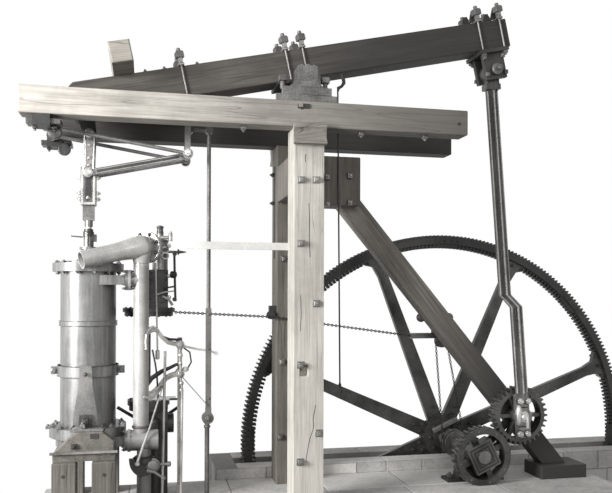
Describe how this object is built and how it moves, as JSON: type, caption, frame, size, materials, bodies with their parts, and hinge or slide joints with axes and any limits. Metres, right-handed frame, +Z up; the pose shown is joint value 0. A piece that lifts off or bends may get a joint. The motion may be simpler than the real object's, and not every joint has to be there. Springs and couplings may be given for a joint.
{
  "type": "beam engine",
  "caption": "Rotative beam engine: timber frame, rocking beam with parallel motion, upright steam cylinder, sun and planet gear and toothed flywheel in a masonry pit",
  "frame": {"origin": "on the ground under the middle of the beam, in the bed's lower face", "axes": "+X from the cylinder to the flywheel, +Y from the near side to the far side, +Z up"},
  "size_m": [7.47, 2.135, 7.4517],
  "materials": {
    "bed_stone": "coursed grey masonry, rough dressed",
    "pale_timber": "old sawn timber, pale and worn",
    "dark_timber": "old dark oiled timber",
    "cradle_timber": "old sawn timber, dirty",
    "black_iron": "blackened cast iron, matt",
    "cast_grey_iron": "polished grey cast iron, oiled",
    "bright_steel": "bright wrought iron, oiled",
    "bright_pipe": "bright worn metal",
    "rod_iron": "dark wrought iron",
    "pale_bar": "pale painted lath"
  },
  "bodies": {
    "root": {"engine_bed": "bed_stone", "pit_front_wall": "bed_stone", "pit_back_wall": "bed_stone", "pit_end_wall_left": "bed_stone", "pit_end_wall_right": "bed_stone", "near_post": "pale_timber", "far_post": "dark_timber", "post_bolsters": "pale_timber", "near_spring_beam": "pale_timber", "far_spring_beam": "dark_timber", "strut_head_block": "dark_timber", "diagonal_strut": "dark_timber", "strut_sill": "dark_timber", "working_beam": "dark_timber", "beam_bands": "black_iron", "catch_block": "pale_timber", "gudgeon": "black_iron", "gudgeon_bearings": "black_iron", "beam_pin_brackets": "black_iron", "rod_end_bearing": "black_iron", "connecting_rod": "cast_grey_iron", "planet_wheel": "black_iron", "orbit_link": "black_iron", "sun_wheel": "black_iron", "crankshaft": "bright_steel", "shaft_bearings": "black_iron", "flywheel_hub": "black_iron", "flywheel_arms": "black_iron", "rim_quarter_1": "black_iron", "rim_quarter_2": "black_iron", "rim_quarter_3": "black_iron", "rim_quarter_4": "black_iron", "suspension_links": "bright_steel", "parallel_bars": "bright_steel", "radius_rods": "bright_steel", "radius_brackets": "black_iron", "piston_rod_head": "bright_steel", "piston_rod": "bright_steel", "steam_cylinder": "cast_grey_iron", "cylinder_cover": "cast_grey_iron", "hold_down_brackets": "black_iron", "cradle_deck": "cradle_timber", "cradle_saddles": "cradle_timber", "cradle_legs": "cradle_timber", "steam_pipe": "bright_pipe", "throttle_body": "black_iron", "stand_pipe": "bright_pipe", "upper_chest": "black_iron", "lower_chest": "black_iron", "valve_rods": "bright_steel", "hand_gear": "bright_steel", "plug_rod": "rod_iron", "stay_bar": "pale_bar", "pull_rod": "rod_iron", "governor": "rod_iron", "governor_drive": "rod_iron", "governor_line": "rod_iron"}
  },
  "joints": []
}
